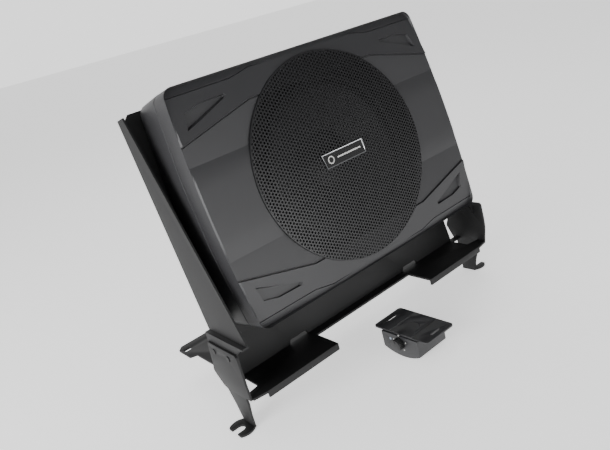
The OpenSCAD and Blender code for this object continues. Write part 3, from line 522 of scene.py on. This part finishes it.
dress(coverPiece, absBlack, "cabinet", "cabinet_abs", "front_cover")
print("front cover built", len(coverPiece.data.polygons))


# Grille

grille = {"radius": 114.5, "rise": 4.0, "thick": 1.0, "pitch": 3.8, "hole": 1.36, "rim": 1.1,
          "drop": 1.6}
domeRadius = (grille["radius"] ** 2 + grille["rise"] ** 2) / (2 * grille["rise"])


def dome(r):
    return grille["rise"] - domeRadius + math.sqrt(domeRadius ** 2 - r * r)


sheet = bmesh.new()
pitch = grille["pitch"]
rowStep = pitch * math.sqrt(3) / 2
rows = int(grille["radius"] / rowStep) + 1
cellRadius = pitch / math.sqrt(3)
quarterTurn = Matrix.Rotation(math.pi / 2, 4, "Z")
edgeRadius = grille["radius"] - grille["rim"] + 0.2
for j in range(-rows, rows + 1):
    for i in range(-rows - 3, rows + 4):
        centre = Vector((j * rowStep, (i + 0.5 * (j % 2)) * pitch))
        if centre.length > edgeRadius + cellRadius:
            continue
        bmesh.ops.create_circle(sheet, cap_ends=True, segments=6, radius=cellRadius * mm,
                                matrix=Matrix.Translation((*(centre * mm), 0)) @ quarterTurn)
bmesh.ops.remove_doubles(sheet, verts=sheet.verts, dist=0.05 * mm)
cells = list(sheet.faces)
bmesh.ops.inset_individual(sheet, faces=cells, thickness=0.5 * mm)
innerEdges = list({e for f in cells for e in f.edges})
bmesh.ops.subdivide_edges(sheet, edges=innerEdges, cuts=1)
for cell in [f for f in sheet.faces if len(f.verts) == 12]:
    middle = cell.calc_center_median()
    for vert in cell.verts:
        vert.co = middle + (vert.co - middle).normalized() * grille["hole"] * mm
holes = [f for f in sheet.faces if len(f.verts) == 12]
bmesh.ops.delete(sheet, geom=holes, context="FACES_ONLY")
# the sheet is trimmed through its outermost holes
outside = [f for f in sheet.faces if min(v.co.length for v in f.verts) > edgeRadius * mm]
bmesh.ops.delete(sheet, geom=outside, context="FACES")
for vert in sheet.verts:
    if vert.co.length > edgeRadius * mm:
        vert.co = vert.co.normalized() * edgeRadius * mm
bmesh.ops.dissolve_degenerate(sheet, edges=sheet.edges, dist=0.02 * mm)
bmesh.ops.solidify(sheet, geom=sheet.faces[:], thickness=-grille["thick"] * mm)
sheet.normal_update()
for vert in sheet.verts:
    vert.co.z += dome(min(grille["radius"] - 0.2, Vector((vert.co.x, vert.co.y)).length / mm)) * mm
top = max(v.co.z for v in sheet.verts)
shift = (grille["rise"] * mm) - top
bmesh.ops.translate(sheet, verts=sheet.verts, vec=(0, 0, shift))
bmesh.ops.triangulate(sheet, faces=sheet.faces)
radius, thick, drop = grille["radius"], grille["thick"], grille["drop"]
inner = radius - grille["rim"]
profile = [(inner, dome(inner) + 0.15), (radius - 0.5, dome(radius - 0.5) + 0.15),
           (radius - 0.1, -0.1), (radius, -0.6), (radius, -drop), (radius - 1, -drop),
           (radius - 1.4, -thick - 0.1), (inner, dome(inner) - thick - 0.12)]
spun(sheet, profile, 160)
bmesh.ops.recalc_face_normals(sheet, faces=sheet.faces)
grillePiece = placed(sheet, "grille_mesh", sharp=40)
dress(grillePiece, grilleBlack, "cabinet", "grille_steel", "grille")
print("grille built", len(grillePiece.data.polygons))


# Badge: a lacquered plate in a chromium rim, marked with a plain ring and bar
badge = {"points": [(-33.3, 8.7), (-31.3, -6.9), (25.7, -6.9), (25.7, 8.7)], "low": 4.02, "high": 5.6,
         "rim": 0.9, "face": 5.3, "ring": (-22.5, 0.9, 4.3, 3.1), "bar": (-13.5, 20.5, 0.1, 1.7)}
middle = sum((Vector(p) for p in badge["points"]), Vector((0, 0))) / 4
shrunk = [(u + math.copysign(badge["rim"], middle.x - u), v + math.copysign(badge["rim"], middle.y - v))
          for u, v in badge["points"]]
frameRim = placed(prism(badge["points"], badge["low"], badge["high"]), "badge_rim")
applied(frameRim, placed(prism(shrunk, badge["low"] - 1, badge["high"] + 1), "cut"))
dress(frameRim, chrome, "cabinet", "badge_plastic")
badgePlate = placed(prism(shrunk, badge["low"], badge["face"]), "badge_plate")
dress(badgePlate, lacquer, "cabinet", "badge_plastic", "badge")
ringU, ringV, ringOuter, ringInner = badge["ring"]
mark = bmesh.new()
spun(mark, [(ringOuter, 0), (ringOuter, 0.12), (ringInner, 0.12), (ringInner, 0)], 48,
     (ringU, ringV, badge["face"]))
barLeft, barRight, barLow, barHigh = badge["bar"]
bmesh.ops.create_cube(mark, size=mm, matrix=Matrix.Translation((
    (barLeft + barRight) / 2 * mm, (barLow + barHigh) / 2 * mm, (badge["face"] + 0.05) * mm))
    @ Matrix.Diagonal((barRight - barLeft, barHigh - barLow, 0.1, 1)))
dress(placed(mark, "badge_mark"), inkWhite, "cabinet", "badge_plastic")
print("badge built")


# Remote: creases and a thumb arc in the plate, printed marks round the knob
remote = {"x": 7.5, "y": -62.0, "top": 28.5, "front": -15.0, "knob": 18.0,
          "crease": 17.0, "creaseLength": 60, "width": 0.7, "depth": 0.5,
          "arcRadius": 16.0, "arcWidth": 1, "arcSpan": 70, "arcBack": 8,
          "markCount": 5, "markSpan": 300, "markRing": 9.6, "markRadius": 0.8, "markDepth": 0.3}


def beam(length, width, depth, x, y, z):
    mesh = bmesh.new()
    bmesh.ops.create_cube(mesh, size=mm, matrix=Matrix.Diagonal((length, width, depth, 1)))
    return placed(mesh, "beam", Matrix.Translation((x * mm, y * mm, z * mm)))


plate = bpy.data.objects["remote_plate_soft"]
cutters = []
for side in (1, -1):
    cutters.append(beam(remote["creaseLength"], remote["width"], 2 * remote["depth"], remote["x"],
                        remote["y"] + side * remote["crease"], remote["top"]))
spread = [math.radians(remote["arcSpan"] * (i / 10 - 0.5)) for i in range(11)]
outer = [circlePoint(remote["arcRadius"], a) for a in spread]
inner = [circlePoint(remote["arcRadius"] - remote["arcWidth"], a) for a in reversed(spread)]
arcCentre = Vector((remote["x"] - remote["arcBack"], remote["y"], remote["top"])) * mm
arcPlace = Matrix.Translation(arcCentre)
cutters.append(placed(prism(outer + inner, -remote["depth"], 1), "arc", arcPlace))
applied(plate, *cutters)
marks = bmesh.new()
for i in range(remote["markCount"]):
    turn = math.radians(remote["markSpan"] * (i / (remote["markCount"] - 1) - 0.5))
    markPlace = Vector((remote["front"], remote["y"] + remote["markRing"] * math.sin(turn),
                        remote["knob"] + remote["markRing"] * math.cos(turn))) * mm
    bmesh.ops.create_cone(marks, cap_ends=True, segments=20, radius1=remote["markRadius"] * mm,
                          radius2=remote["markRadius"] * mm, depth=remote["markDepth"] * mm,
                          matrix=Matrix.Translation(markPlace) @ Matrix.Rotation(math.pi / 2, 4, "Y"))
dress(finishMesh(marks, "remote_marks"), inkWhite, "remote", "remote_abs")
print("remote detailed")


# Camera, light and floor

floor = {"size": 60.0, "drop": 0.0002, "glow": 0.9}
bpy.ops.mesh.primitive_plane_add(size=floor["size"], location=(0, 0, cadBox[0].z - floor["drop"]))
ground = bpy.context.object
ground.name = "floor"
paper = coating("floor_paper", "f6f6f6", "fafafa", 0.8, 0.05, 3.0, 0.05)
glow = paper.node_tree.nodes["Principled BSDF"].inputs
glow["Emission Color"].default_value = linear("ffffff")
glow["Emission Strength"].default_value = floor["glow"]
ground.data.materials.append(paper)

cameraData = bpy.data.cameras.new("camera")
camera = bpy.data.objects.new("camera", cameraData)
scene.collection.objects.link(camera)
view = {"place": (-0.421, -0.539, 0.403), "right": (0.7505, -0.6128, -0.2475),
        "up": (0.3963, 0.1176, 0.9106), "forward": (0.5289, 0.7814, -0.3311),
        "lens": 37.215, "sensor": 36}
right, up, back = Vector(view["right"]), Vector(view["up"]), -Vector(view["forward"])
turned = Matrix((right, up, back)).transposed().to_4x4()
camera.matrix_world = Matrix.Translation(view["place"]) @ turned
cameraData.sensor_width = view["sensor"]
cameraData.lens = view["lens"]
cameraData.clip_end = 120
scene.camera = camera


def softbox(name, place, target, width, height, watts):
    data = bpy.data.lights.new(name, "AREA")
    data.shape = "RECTANGLE"
    data.size = width
    data.size_y = height
    data.energy = watts
    obj = bpy.data.objects.new(name, data)
    scene.collection.objects.link(obj)
    obj.location = place
    obj.rotation_euler = (Vector(target) - Vector(place)).to_track_quat("-Z", "Y").to_euler()
    return obj


aim = (0, -0.03, 0.2)
softbox("front", (0.2, -1.4, 0.1), aim, 0.6, 0.4, 8)
softbox("left", (-1.7, -0.25, 0.5), aim, 1.2, 1.0, 34)
softbox("top", (0.1, 0.4, 1.9), aim, 1.6, 1.2, 8)

world = bpy.data.worlds.new("studio")
world.use_nodes = True
sky = world.node_tree
# white behind the part, dim above and in front of it
direction = addNode(sky, "ShaderNodeTexCoord").outputs["Generated"]
toBack = addNode(sky, "ShaderNodeVectorMath", {0: direction}, operation="DOT_PRODUCT")
toBack.inputs[1].default_value = (0.45, 0.8, -0.4)
fade = addNode(sky, "ShaderNodeMapRange", {"Value": toBack.outputs["Value"]})
fade.inputs["From Min"].default_value = 0.25
fade.inputs["From Max"].default_value = 0.75
fade.inputs["To Min"].default_value = 0.25
fade.inputs["To Max"].default_value = 1.6
sky.links.new(fade.outputs["Result"], sky.nodes["Background"].inputs["Strength"])
sky.nodes["Background"].inputs["Color"].default_value = linear("ffffff")
scene.world = world
